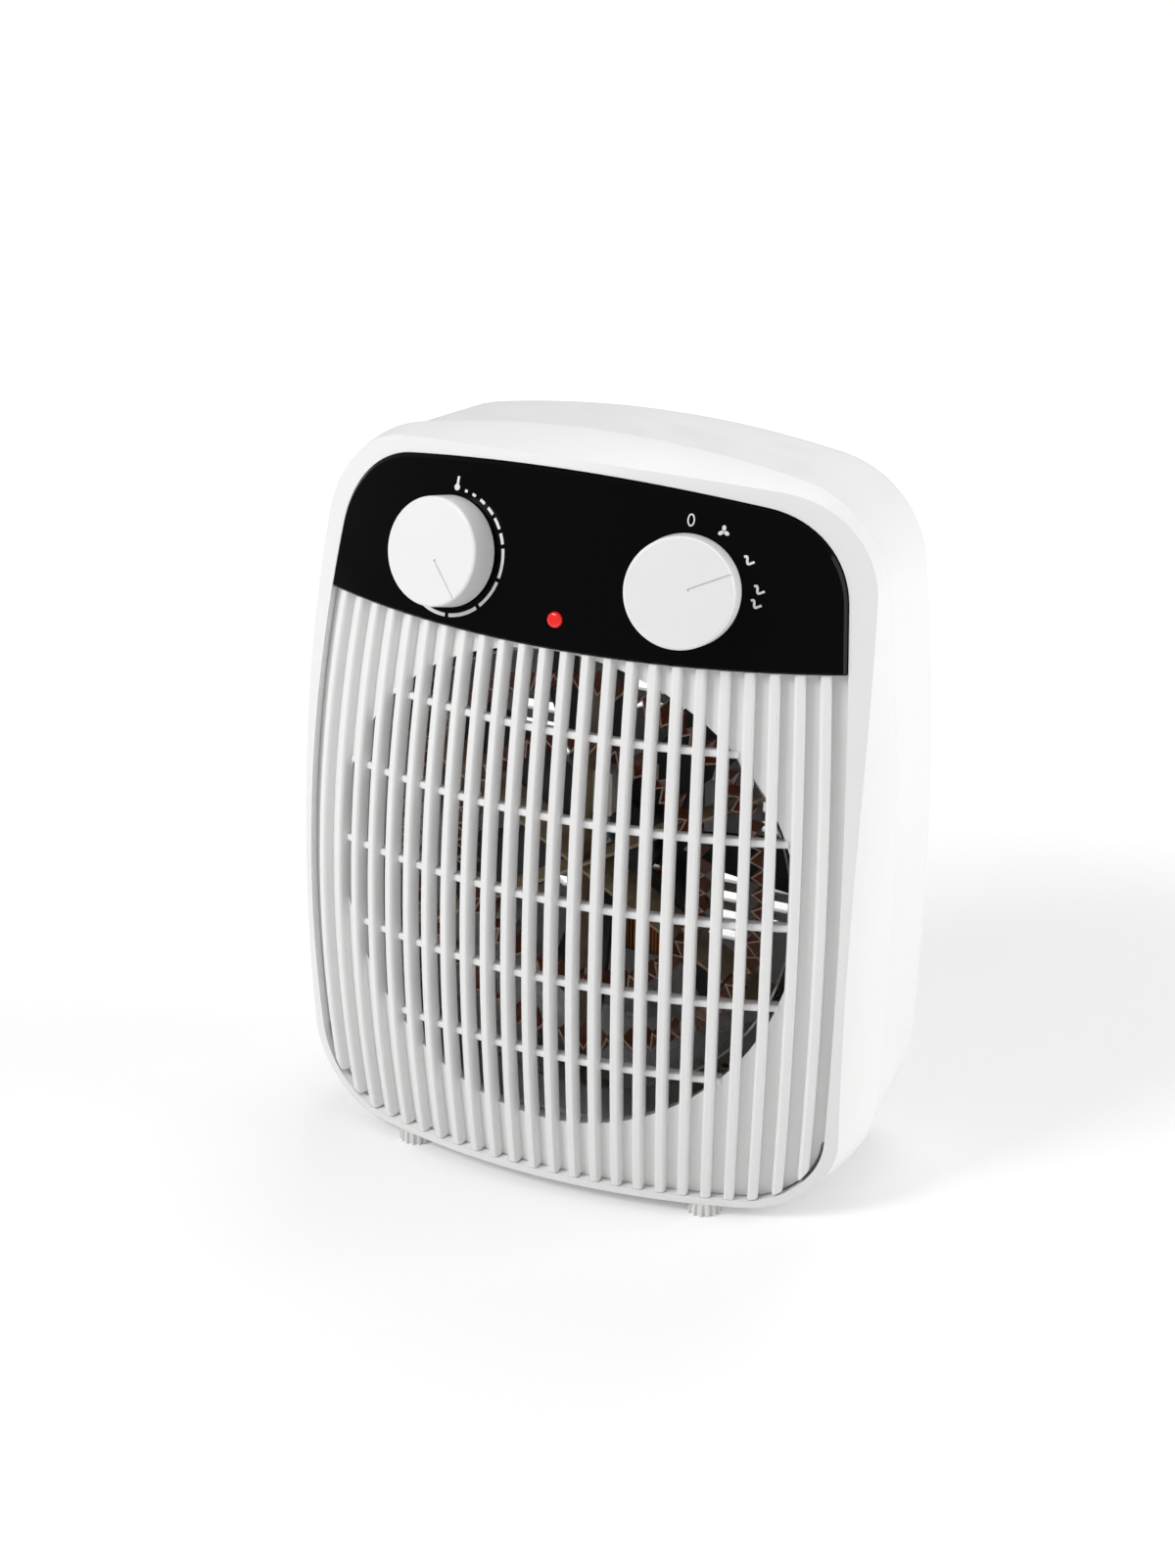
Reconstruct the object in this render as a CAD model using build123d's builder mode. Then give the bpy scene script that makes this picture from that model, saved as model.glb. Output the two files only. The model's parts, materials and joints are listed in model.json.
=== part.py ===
from build123d import *
import os
from math import asin, cos, hypot, pi, radians, sin, sqrt

# Overall size in millimetres, with X to the right, Y to the back and Z up.
# The origin is under the middle of the heater, on the surface that it stands on.
depth = 110.0
foot_drop = 4.5
seam_back = 50.0
wall = 2.5
fit_gap = 0.15
front_y = -depth / 2
back_y = depth / 2
seam_y = front_y + seam_back

# The front is a barrel: an upright arc turned about an upright axis behind it.
front_radius = 221.0
front_sweep_radius = 526.0
front_mid_z = 91.5
front_axis_y = front_y + front_radius
cut_top_z = 300.0
cut_bottom_z = -30.0

# Outline of the ribbed insert and of the control panel above it.
insert_half = 97.4
insert_mid_z = 99.5
insert_side_radius = 980.0
insert_top_z = 253.0
insert_crown_radius = 360.0
lip_bottom = 3.0
insert_bottom_z = foot_drop + lip_bottom
insert_top_corner = 33.0
insert_bottom_corner = 27.0
insert_depth = 7.5

# Ribs, round outlet and cross bars.
rib_pitch = 8.0
rib_width = 3.8
groove_count = 25
groove_depth = 4.6
outer_groove_radius = 900.0
groove_mid_z = 95.0
outlet_radius = 83.8
outlet_z = 111.7
bar_count = 5
bar_pitch = 29.1
bar_height = 2.0
bar_recess = 4.2
bar_depth = 3.0

# Control panel and the window behind it for the controls.
panel_bottom_z = 197.2
panel_proud = 1.2
panel_seat = 1.6
panel_bevel = 0.8
window_half = 74.0
window_bottom_z = 201.0
window_top_z = 243.0
window_corner = 8.0

# Front shell round the insert.
lip = 1.8
lip_depth = 22.0
shell_start = 6.0
shell_middle = 28.0
ledge = 3.0
ledge_depth = 2.5
shell_flare = 9.1
shell_rise = 6.5
shell_top_corner = 39.0
shell_bottom_corner = 34.0

# Rear shell, its inlet grille and the grip above it.
seam_step = 1.0
rear_taper = 5.2
rear_top_taper = 6.0
rear_round = 14.0
tongue_depth = 4.0
tongue_gap = 0.6
tongue_wall = 1.6
inlet_radius = 62.0
inlet_hub_radius = 31.0
inlet_slot = 4.0
inlet_pitch = 7.5
inlet_spoke = 4.0
grip_width = 92.0
grip_height = 24.0
grip_depth = 24.0
grip_z = 214.0
grip_corner = 9.0
screw_x = 80.0
screw_z = (45.0, 188.0)
post_radius = 5.0
screw_radius = 1.6
screw_gap = 0.05
head_radius = 3.2
head_height = 2.0
counterbore = 4.0
counterbore_depth = 44.0
screw_length = 28.0
screw_room = 2.0
screw_start = depth - counterbore_depth - screw_length
gland_x = 58.0
gland_z = 32.0
gland_radius = 5.0
gland_flange = 7.5
gland_bore = 3.3

# Knobs, spindles and the controls behind the panel.
knob_x = 41.2
knob_z = 221.0
knob_radius = 18.2
knob_height = 10.0
knob_lift = 0.4
knob_round = 1.0
knob_taper = 2.0
knob_bore_depth = 7.0
nut_room = 9.0
nut_room_depth = 3.2
pointer_width = 0.8
pointer_depth = 0.4
thermostat_rest = 137.0
switch_rest = 66.0
spindle_radius = 3.0
spindle_gap = 0.05
spindle_flat = 2.0
spindle_flat_length = 4.0
spindle_depth = 14.0
bush_radius = 4.5
bush_gap = 0.1
nut_across = 13.0
nut_height = 2.5
control_gap = 1.0
collar_radius = 6.0
control_radius = 13.0
control_depth = 14.0
tab_width = 6.3
tab_thickness = 0.8
tab_length = 8.0

# Indicator.
lamp_z = 206.8
lens_radius = 2.6
lens_flange = 3.4
lens_proud = 1.0
lens_base = 1.2
lamp_radius = 2.3
lamp_length = 13.0

# Feet, pushed into the two shells.
foot_x = 55.0
foot_near = 20.0
foot_far = 88.0
foot_radius = 6.3
foot_flutes = 16
foot_flute_radius = 0.9
foot_stem = 2.5
foot_stem_gap = 0.1

# Air duct, element, fan and motor on the outlet's axis, at distances behind the front.
duct_front = 27.0
duct_back = 83.0
duct_radius = 79.0
duct_wall = 0.8
duct_flange = 3.0
duct_flange_depth = 2.0
duct_spot = 60.0
duct_tab = 6.0
duct_screw_length = 12.0
mica_front = 32.0
mica_back = 50.0
mica_thickness = 1.0
mica_count = 3
mica_notch = 0.6
ribbon_width = 8.0
ribbon_thickness = 0.6
ribbon_wave = 5.0
outer_ribbon_radius = 66.0
outer_ribbon_waves = 66
inner_ribbon_radius = 44.0
inner_ribbon_waves = 44
cutout_low = 16.0
cutout_height = 16.0
cutout_width = 7.0
fuse_radius = 1.6
fan_front = 58.0
fan_radius = 70.0
fan_hub_radius = 17.0
fan_hub_depth = 14.0
blade_count = 7
blade_depth = 13.0
blade_thickness = 1.4
blade_sections = ((15.0, 16.0, 44.0), (42.0, 24.0, 32.0), (74.0, 30.0, 25.0))
hub_wall = 2.0
hub_boss = 5.0
clip_radius = 4.5
clip_thickness = 0.8
shaft_radius = 2.0
shaft_gap = 0.05
rotor_radius = 11.0
rotor_gap = 0.5
stator_front = 80.0
stator_depth = 14.0
stator_half = 26.0
stator_top = 20.0
stator_bottom = -44.0
stator_leg = 12.0
stator_bar = 10.0
stator_window_top = -17.0
coil_wall = 6.0
coil_gap = 0.2
bracket_depth = 3.0
bracket_half = 25.0
bracket_height = 12.0
bearing_radius = 6.0
bearing_depth = 4.0
motor_screw_x = 20.0
block_width = 30.0
block_height = 12.0
block_depth = 14.0
block_x = 36.0
block_near = 80.0
block_holes = 3


def on_y(y):
    """Upright plane across the heater, drawn in X and Z as seen from the front."""
    return Plane(origin=(0, y, 0), x_dir=(1, 0, 0), z_dir=(0, -1, 0))


def on_axis(distance, angle=0):
    """Plane square to the outlet's axis, at a distance behind the front."""
    origin = (0, front_y + distance, outlet_z)
    x_dir = (cos(radians(angle)), 0, sin(radians(angle)))
    return Plane(origin=origin, x_dir=x_dir, z_dir=(0, -1, 0))


def front_at(x, z, proud=0.0):
    """Plane that lies on the front's curve at x and z, its normal pointing out."""
    radius = front_sweep_radius + proud
    rise = asin((z - front_mid_z) / radius)
    reach = front_radius - front_sweep_radius + radius * cos(rise)
    turn = asin(x / reach)
    origin = (x, front_axis_y - reach * cos(turn), z)
    normal = (sin(turn) * cos(rise), -cos(turn) * cos(rise), sin(rise))
    return Plane(origin=origin, x_dir=(cos(turn), sin(turn), 0), z_dir=normal)


def barrel(inset):
    """Solid barrel whose near side is the front's curve, set back by inset."""
    radius = front_sweep_radius - inset
    centre_y = front_axis_y + front_radius - front_sweep_radius

    def reach(z):
        return centre_y + sqrt(radius**2 - (z - front_mid_z) ** 2)

    with BuildPart() as solid:
        with BuildSketch(Plane.YZ):
            with BuildLine():
                ThreePointArc(
                    (reach(cut_bottom_z), cut_bottom_z),
                    (reach(front_mid_z), front_mid_z),
                    (reach(cut_top_z), cut_top_z),
                )
                Polyline(
                    (reach(cut_top_z), cut_top_z),
                    (front_axis_y, cut_top_z),
                    (front_axis_y, cut_bottom_z),
                    (reach(cut_bottom_z), cut_bottom_z),
                )
            make_face()
        revolve(axis=Axis((0, front_axis_y, 0), (0, 0, 1)))
    return solid.part


def outline(y, half, top_z, bottom_z, top_corner, bottom_corner):
    """Housing outline: bowed sides, crowned top, flat bottom and round corners."""

    def side(z):
        return half - (z - insert_mid_z) ** 2 / (2 * insert_side_radius)

    top_x = side(top_z - top_corner / 3)
    shoulder_z = top_z - top_x**2 / (2 * insert_crown_radius)
    bottom_x = side(bottom_z)
    with BuildSketch(on_y(y)) as face:
        with BuildLine():
            Line((-bottom_x, bottom_z), (bottom_x, bottom_z))
            ThreePointArc((bottom_x, bottom_z), (half, insert_mid_z), (top_x, shoulder_z))
            ThreePointArc((top_x, shoulder_z), (0, top_z), (-top_x, shoulder_z))
            ThreePointArc((-top_x, shoulder_z), (-half, insert_mid_z), (-bottom_x, bottom_z))
        make_face()
        fillet(face.vertices().group_by(Axis.Y)[-1], top_corner)
        fillet(face.vertices().group_by(Axis.Y)[0], bottom_corner)
    return face.sketch


def insert_block(grow):
    """Straight block through the whole front on the insert's outline."""
    with BuildPart() as block:
        face = outline(
            front_y + insert_depth + 60,
            insert_half + grow,
            insert_top_z + grow,
            insert_bottom_z - grow,
            insert_top_corner + grow,
            insert_bottom_corner + grow,
        )
        extrude(face, amount=insert_depth + 80)
    return block.part


def span_box(x, y, z):
    """Box between the given pairs of x, y and z."""
    with BuildPart() as block:
        with BuildSketch(Plane.XY.offset(z[0])):
            with Locations(((x[0] + x[1]) / 2, (y[0] + y[1]) / 2)):
                Rectangle(x[1] - x[0], y[1] - y[0])
        extrude(amount=z[1] - z[0])
    return block.part


def save(part, name):
    """Label a piece and write its file."""
    part.label = name
    export_step(part, f"parts/{name}.step")


os.makedirs("parts", exist_ok=True)
front_zone = (front_y - 20, front_y + 70)
half_zone = (-insert_half - 20, insert_half + 20)

# Front grille: a curved plate, grooved between its ribs, with a round outlet.
surface = barrel(0)
groove_width = rib_pitch - rib_width
with BuildPart() as grooves:
    for index in range(groove_count):
        x = (index - (groove_count - 1) / 2) * rib_pitch
        base = front_at(x, groove_mid_z, insert_depth + 20)
        bottom = cut_bottom_z - groove_mid_z
        top = panel_bottom_z + 40 - groove_mid_z
        edge = groove_width / 2
        with BuildSketch(base):
            if x == 0:
                with Locations((0, (top + bottom) / 2)):
                    Rectangle(groove_width, top - bottom)
            else:
                radius = outer_groove_radius * (groove_count - 1) / 2 * rib_pitch / x
                low = -(bottom**2) / (2 * radius)
                high = -(top**2) / (2 * radius)
                with BuildLine():
                    ThreePointArc((low + edge, bottom), (edge, 0), (high + edge, top))
                    Line((high + edge, top), (high - edge, top))
                    ThreePointArc((high - edge, top), (-edge, 0), (low - edge, bottom))
                    Line((low - edge, bottom), (low + edge, bottom))
                make_face()
        extrude(amount=-(insert_depth + 60))

with BuildPart() as outlet_bore:
    with BuildSketch(on_axis(insert_depth + 60)):
        Circle(outlet_radius)
    extrude(amount=insert_depth + 80)

with BuildPart() as groove_zone:
    add(span_box(half_zone, front_zone, (cut_bottom_z + 5, panel_bottom_z)))
    add(barrel(groove_depth), mode=Mode.SUBTRACT)
    add(outlet_bore.part)

with BuildPart() as cut_grooves:
    add(grooves.part)
    add(groove_zone.part, mode=Mode.INTERSECT)

with BuildPart() as bars:
    add(barrel(bar_recess))
    add(barrel(bar_recess + bar_depth), mode=Mode.SUBTRACT)
    with BuildPart(mode=Mode.INTERSECT):
        for index in range(bar_count):
            z = outlet_z + (index - (bar_count - 1) / 2) * bar_pitch
            add(span_box(half_zone, front_zone, (z - bar_height / 2, z + bar_height / 2)))
    with BuildPart(mode=Mode.INTERSECT):
        with BuildSketch(on_axis(insert_depth + 60)):
            Circle(outlet_radius + rib_pitch / 4)
        extrude(amount=insert_depth + 80)

with BuildPart() as front_grille:
    add(insert_block(-fit_gap))
    add(surface, mode=Mode.INTERSECT)
    add(barrel(insert_depth), mode=Mode.SUBTRACT)

    with BuildPart(mode=Mode.SUBTRACT):
        add(span_box(half_zone, front_zone, (panel_bottom_z, cut_top_z)))
        add(barrel(panel_seat), mode=Mode.SUBTRACT)

    with BuildSketch(on_y(front_y + 60)):
        with Locations((0, (window_bottom_z + window_top_z) / 2)):
            RectangleRounded(2 * window_half, window_top_z - window_bottom_z, window_corner)
    extrude(amount=80, mode=Mode.SUBTRACT)

    add(cut_grooves.part, mode=Mode.SUBTRACT)

    add(bars.part)

save(front_grille.part, "front_grille")


def flare(distance):
    """How far the front shell stands outside the insert, at a distance behind the front."""
    t = (distance - lip_depth) / (seam_back - lip_depth)
    return 1.9 * t - 0.9 * t**2


def shell_section(distance, inset):
    """Front shell's outline at a distance behind the front, set in by inset."""
    share = flare(distance)
    grow = lip + (shell_flare - lip) * share
    top_corner = insert_top_corner + (shell_top_corner - insert_top_corner) * share
    bottom_corner = insert_bottom_corner + (shell_bottom_corner - insert_bottom_corner) * share
    return outline(
        front_y + distance,
        insert_half + grow - inset,
        insert_top_z + lip + (shell_rise - lip) * share - inset,
        foot_drop + inset,
        top_corner - inset,
        bottom_corner - inset,
    )


def shell_body(inset):
    """Crowned body of the front shell, set in by inset."""
    with BuildPart() as body:
        loft([shell_section(d, inset) for d in (shell_start, shell_middle, seam_back)])
    return body.part


def rear_section(distance, inset):
    """Rear shell's outline at a distance behind the front, set in by inset."""
    share = (distance - seam_back) / (depth - seam_back)
    return outline(
        front_y + distance,
        insert_half + shell_flare - seam_step - rear_taper * share - inset,
        insert_top_z + shell_rise - seam_step - rear_top_taper * share - inset,
        foot_drop + seam_step / 2 + inset,
        shell_top_corner - inset,
        shell_bottom_corner - inset,
    )


def rear_body(inset):
    """Tapered body of the rear shell with its rounded back edge, set in by inset."""
    with BuildPart() as body:
        loft([rear_section(d, inset) for d in (seam_back, depth - inset)], ruled=True)
        fillet(body.faces().sort_by(Axis.Y)[-1].edges(), rear_round - inset)
    return body.part


def rods(near, far, radius, spots=((0, 0),), bore=0.0):
    """Rods or rings along the outlet's axis, between two distances behind the front."""
    with BuildPart() as body:
        with BuildSketch(on_axis(far)):
            with Locations(*spots):
                Circle(radius)
            if bore:
                with Locations(*spots):
                    Circle(bore, mode=Mode.SUBTRACT)
        extrude(amount=far - near)
    return body.part


def block(near, far, x, z):
    """Block between two distances behind the front, x and z counted from the axis."""
    return span_box(x, (front_y + near, front_y + far), (outlet_z + z[0], outlet_z + z[1]))


def foot_holes(distance):
    """Holes for the stems of the two feet at a distance behind the front."""
    with BuildPart() as body:
        with BuildSketch(Plane.XY):
            with Locations(*[(x, front_y + distance) for x in (-foot_x, foot_x)]):
                Circle(foot_stem + foot_stem_gap)
        extrude(amount=foot_drop + lip_bottom + 1)
    return body.part


# Front shell: crowned surround with a lip, a ledge behind the insert and screw posts.
housing_spots = [(x, z - outlet_z) for x in (-screw_x, screw_x) for z in screw_z]
outer = shell_body(0)
with BuildPart() as shell_posts:
    for x, z in housing_spots:
        inner_x, outer_x = abs(x) - post_radius, insert_half + shell_flare
        across = (inner_x, outer_x) if x > 0 else (-outer_x, -inner_x)
        add(block(lip_depth, seam_back, across, (z - post_radius, z + post_radius)))
    add(outer, mode=Mode.INTERSECT)
    add(barrel(insert_depth + fit_gap), mode=Mode.INTERSECT)
with BuildPart() as front_shell:
    add(outer)
    add(surface, mode=Mode.INTERSECT)
    with BuildPart(mode=Mode.SUBTRACT):
        add(shell_body(wall))
        add(barrel(insert_depth + ledge_depth), mode=Mode.INTERSECT)
    with BuildPart(mode=Mode.SUBTRACT):
        add(insert_block(0))
        add(barrel(insert_depth + fit_gap), mode=Mode.SUBTRACT)
    add(insert_block(-ledge), mode=Mode.SUBTRACT)
    add(shell_posts.part)
    add(
        rods(screw_start - screw_room, seam_back, screw_radius + screw_gap, housing_spots),
        mode=Mode.SUBTRACT,
    )
    add(foot_holes(foot_near), mode=Mode.SUBTRACT)
save(front_shell.part, "front_shell")

# Control panel: a curved black plate with a bevelled edge, two bushes' holes and the lamp's.
left_control = front_at(-knob_x, knob_z)
right_control = front_at(knob_x, knob_z)
lamp_seat = front_at(0, lamp_z)
with BuildPart() as control_panel:
    add(insert_block(-2 * fit_gap))
    add(barrel(-panel_proud), mode=Mode.INTERSECT)
    add(barrel(panel_seat - fit_gap), mode=Mode.SUBTRACT)
    add(
        span_box(half_zone, front_zone, (panel_bottom_z + fit_gap, cut_top_z)),
        mode=Mode.INTERSECT,
    )
    bevel_face = control_panel.faces().sort_by(SortBy.AREA)[-2:].sort_by(Axis.Y)[0]
    chamfer(bevel_face.edges(), panel_bevel)
    with BuildSketch(left_control, right_control):
        Circle(bush_radius + bush_gap)
    extrude(amount=10, both=True, mode=Mode.SUBTRACT)
    with BuildSketch(lamp_seat):
        Circle(lens_radius + bush_gap)
    extrude(amount=10, both=True, mode=Mode.SUBTRACT)
save(control_panel.part, "control_panel")


def knob(seat, rest):
    """Round knob over its nut, its pointer line turned clockwise from the top by rest."""
    base = seat.offset(panel_proud + knob_lift)
    with BuildPart() as body:
        with BuildSketch(base):
            Circle(knob_radius)
        extrude(amount=knob_height, taper=knob_taper)
        face = body.faces().sort_by(Axis(base.origin, base.z_dir))[-1]
        fillet(face.edges(), knob_round)
        with BuildSketch(base):
            Circle(nut_room)
        extrude(amount=nut_room_depth, mode=Mode.SUBTRACT)
        with BuildSketch(base):
            add(flatted(spindle_radius + spindle_gap, spindle_flat + spindle_gap))
        extrude(amount=knob_bore_depth, mode=Mode.SUBTRACT)
        reach = (knob_radius + spindle_radius) / 2
        turn = 90 - rest
        with BuildSketch(base.offset(knob_height)):
            with Locations((reach * cos(radians(turn)), reach * sin(radians(turn)))):
                Rectangle(knob_radius - spindle_radius, pointer_width, rotation=turn)
        extrude(amount=-pointer_depth, mode=Mode.SUBTRACT)
    return body.part


def flatted(radius, flat):
    """Round section with one flat at a distance from its centre."""
    with BuildSketch(Plane.XY) as face:
        Circle(radius)
        with Locations((flat + radius, 0)):
            Rectangle(2 * radius, 2 * radius, mode=Mode.SUBTRACT)
    return face.sketch


def spindle(seat):
    """Spindle from inside the control to inside the knob, flatted at its end."""
    end = panel_proud + knob_lift + knob_bore_depth - bush_gap
    with BuildPart() as body:
        with BuildSketch(seat.offset(end)):
            add(flatted(spindle_radius, spindle_flat))
        extrude(amount=-spindle_flat_length)
        with BuildSketch(seat.offset(end - spindle_flat_length)):
            Circle(spindle_radius)
        extrude(amount=-(end - spindle_flat_length + spindle_depth))
    return body.part


def control(seat, square, tabs):
    """Body of a rotary control with a threaded bush through the panel."""
    face_back = panel_seat - fit_gap + control_gap
    top = panel_proud + nut_height + bush_gap
    with BuildPart() as body:
        with BuildSketch(seat.offset(-face_back)):
            if square:
                RectangleRounded(2 * control_radius, 2 * control_radius, 2)
            else:
                Circle(control_radius)
        extrude(amount=-control_depth)
        with BuildSketch(seat.offset(-face_back)):
            Circle(collar_radius)
        extrude(amount=control_gap - fit_gap)
        with BuildSketch(seat.offset(-face_back)):
            Circle(bush_radius)
        extrude(amount=face_back + top)
        with BuildSketch(seat.offset(-face_back - control_depth)):
            with GridLocations(control_radius, control_radius, 2, tabs):
                Rectangle(tab_width, tab_thickness)
        extrude(amount=-tab_length)
        with BuildSketch(seat.offset(top)):
            Circle(spindle_radius + spindle_gap)
        extrude(amount=-(top + spindle_depth + bush_gap), mode=Mode.SUBTRACT)
    return body.part


# Knobs, spindles, controls and the nuts that clamp them to the panel.
save(knob(left_control, thermostat_rest), "thermostat_knob")
save(knob(right_control, switch_rest), "switch_knob")
save(spindle(left_control), "thermostat_spindle")
save(spindle(right_control), "switch_spindle")
save(control(left_control, False, 1), "thermostat_body")
save(control(right_control, True, 2), "switch_body")
with BuildPart() as control_nuts:
    with BuildSketch(left_control.offset(panel_proud), right_control.offset(panel_proud)):
        RegularPolygon(nut_across / 2, 6, major_radius=False)
        Circle(bush_radius + spindle_gap, mode=Mode.SUBTRACT)
    extrude(amount=nut_height)
save(control_nuts.part, "control_nuts")

# Indicator: a red lens with a flange behind the panel and a lamp behind the flange.
lens_back = panel_seat + lens_base
with BuildPart() as indicator_lens:
    with BuildSketch(lamp_seat.offset(-lens_back)):
        Circle(lens_flange)
    extrude(amount=lens_base)
    with BuildSketch(lamp_seat.offset(-panel_seat)):
        Circle(lens_radius)
    extrude(amount=panel_seat + panel_proud + lens_proud)
    top_face = indicator_lens.faces().sort_by(Axis(lamp_seat.origin, lamp_seat.z_dir))[-1]
    fillet(top_face.edges(), lens_proud)
save(indicator_lens.part, "indicator_lens")
with BuildPart() as indicator_lamp:
    with BuildSketch(lamp_seat.offset(-lens_back - bush_gap)):
        Circle(lamp_radius)
    extrude(amount=-lamp_length)
    fillet(indicator_lamp.edges().filter_by(GeomType.CIRCLE), lamp_radius / 2)
save(indicator_lamp.part, "indicator_lamp")

# Rear shell: tapered back with a tongue, an inlet grille, a grip and posts for the screws.
motor_spots = [(-motor_screw_x, 0), (motor_screw_x, 0)]
duct_spots = [(x, z) for x in (-duct_spot, duct_spot) for z in (-duct_spot, duct_spot)]
screw_seat = depth - counterbore_depth
motor_seat = stator_front + stator_depth + bracket_depth
rear_outer = rear_body(0)


def tongue_block(inset):
    """Straight block across the seam, set in from the front shell's edge."""
    with BuildPart() as body:
        extrude(shell_section(seam_back, inset), amount=tongue_depth)
        extrude(shell_section(seam_back, inset), amount=-2 * tongue_depth)
    return body.part


with BuildPart() as rear_shell:
    add(rear_outer)
    add(rear_body(wall), mode=Mode.SUBTRACT)
    with BuildPart():
        add(tongue_block(wall + tongue_gap))
        add(tongue_block(wall + tongue_gap + tongue_wall), mode=Mode.SUBTRACT)
        add(barrel(insert_depth + ledge_depth + tongue_gap), mode=Mode.INTERSECT)
        for x, z in housing_spots:
            span = post_radius + 2 * tongue_gap
            add(
                block(lip_depth, seam_back, (x - 40, x + 40), (z - span, z + span)),
                mode=Mode.SUBTRACT,
            )
    add(rods(seam_back, depth - wall, post_radius, housing_spots))
    add(rods(duct_back, depth - wall, duct_tab - 1, duct_spots))
    add(rods(motor_seat, depth - wall, post_radius, motor_spots))

    with BuildPart():
        with BuildSketch(on_y(back_y - wall)):
            with Locations((0, grip_z)):
                RectangleRounded(grip_width + 2 * wall, grip_height + 2 * wall, grip_corner)
        extrude(amount=grip_depth)
    with BuildSketch(on_y(back_y)):
        with Locations((0, grip_z)):
            RectangleRounded(grip_width, grip_height, grip_corner - wall)
    extrude(amount=grip_depth, mode=Mode.SUBTRACT)

    with BuildSketch(on_axis(depth)):
        slot_count = int(inlet_radius // inlet_pitch)
        for index in range(-slot_count, slot_count + 1):
            with Locations((0, index * inlet_pitch)):
                Rectangle(2 * inlet_radius, inlet_slot)
        Circle(inlet_radius, mode=Mode.INTERSECT)
        Circle(inlet_hub_radius, mode=Mode.SUBTRACT)
        Rectangle(inlet_spoke, 2 * inlet_radius, mode=Mode.SUBTRACT)
        for x in (-inlet_radius / 2 - inlet_spoke, inlet_radius / 2 + inlet_spoke):
            with Locations((x, 0)):
                Rectangle(inlet_spoke, 2 * inlet_radius, mode=Mode.SUBTRACT)
    extrude(amount=2 * wall, mode=Mode.SUBTRACT)

    hole = screw_radius + screw_gap
    add(rods(seam_back, depth, hole, housing_spots), mode=Mode.SUBTRACT)
    add(rods(screw_seat, depth, counterbore, housing_spots), mode=Mode.SUBTRACT)
    duct_tip = duct_back - duct_flange_depth + duct_screw_length
    add(rods(duct_back, duct_tip + screw_room, hole, duct_spots), mode=Mode.SUBTRACT)
    motor_start = stator_front - bracket_depth
    motor_tip = motor_start + screw_length
    add(rods(motor_seat, motor_tip + 1, hole, motor_spots), mode=Mode.SUBTRACT)
    gland_spot = [(gland_x, gland_z - outlet_z)]
    add(rods(depth - 2 * wall, depth, gland_radius + bush_gap, gland_spot), mode=Mode.SUBTRACT)
    add(foot_holes(foot_far), mode=Mode.SUBTRACT)
save(rear_shell.part, "rear_shell")

# Feet: fluted discs with stems pushed into the shells.
with BuildPart() as feet:
    for distance, rise in ((foot_near, 0), (foot_far, seam_step / 2)):
        with BuildSketch(Plane.XY):
            with Locations(*[(x, front_y + distance) for x in (-foot_x, foot_x)]):
                Circle(foot_radius)
                with PolarLocations(foot_radius, foot_flutes):
                    Circle(foot_flute_radius, mode=Mode.SUBTRACT)
        extrude(amount=foot_drop + rise)
        with BuildSketch(Plane.XY.offset(foot_drop + rise)):
            with Locations(*[(x, front_y + distance) for x in (-foot_x, foot_x)]):
                Circle(foot_stem)
        extrude(amount=wall)
save(feet.part, "feet")


def screws(start, length, spots, heads_back):
    """Pan-head screws along the axis with cross slots, heads at one end."""
    tip = start + length
    if heads_back:
        head, socket = (tip, tip + head_height), (tip + head_height / 2, tip + head_height)
    else:
        head, socket = (start - head_height, start), (start - head_height, start - head_height / 2)
    with BuildPart() as body:
        add(rods(start, tip, screw_radius, spots))
        add(rods(*head, head_radius, spots))
        with BuildSketch(on_axis(socket[1])):
            with Locations(*spots):
                Rectangle(head_radius * 1.2, head_radius / 4)
                Rectangle(head_radius / 4, head_radius * 1.2)
        extrude(amount=socket[1] - socket[0], mode=Mode.SUBTRACT)
    return body.part


save(screws(screw_start, screw_length, housing_spots, True), "housing_screws")
duct_start = duct_back - duct_flange_depth
save(screws(duct_start, duct_screw_length, duct_spots, False), "duct_screws")
save(screws(motor_start, screw_length, motor_spots, False), "motor_screws")

# Air duct: a rolled tube with a flange and four tabs screwed to the rear shell's posts.
duct_outer = duct_radius + duct_wall
with BuildPart() as air_duct:
    add(rods(duct_front, duct_back, duct_outer))
    add(rods(duct_start, duct_back, duct_outer + duct_flange))
    add(rods(duct_start, duct_back, duct_tab, duct_spots))
    add(rods(duct_front, duct_back, duct_radius), mode=Mode.SUBTRACT)
    add(rods(duct_start, duct_back, hole, duct_spots), mode=Mode.SUBTRACT)
save(air_duct.part, "air_duct")


def ribbon(radius, waves, swell=0.0):
    """Ring of flat ribbon folded in waves, its width along the outlet's axis."""
    fold = hypot(ribbon_wave, pi * radius / waves) / (pi * radius / waves)
    half = ribbon_thickness / 2 * fold + swell
    count = 2 * waves
    outer_points = []
    inner_points = []
    for index in range(count):
        middle = radius + ribbon_wave / 2 * (-1) ** index
        turn = 2 * pi * index / count
        outer_points.append(((middle + half) * cos(turn), (middle + half) * sin(turn)))
        inner_points.append(((middle - half) * cos(turn), (middle - half) * sin(turn)))
    with BuildPart() as body:
        with BuildSketch(on_axis(mica_front + ribbon_width)):
            Polygon(*outer_points, align=None)
            Polygon(*inner_points, align=None, mode=Mode.SUBTRACT)
        extrude(amount=ribbon_width)
    return body.part


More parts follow.
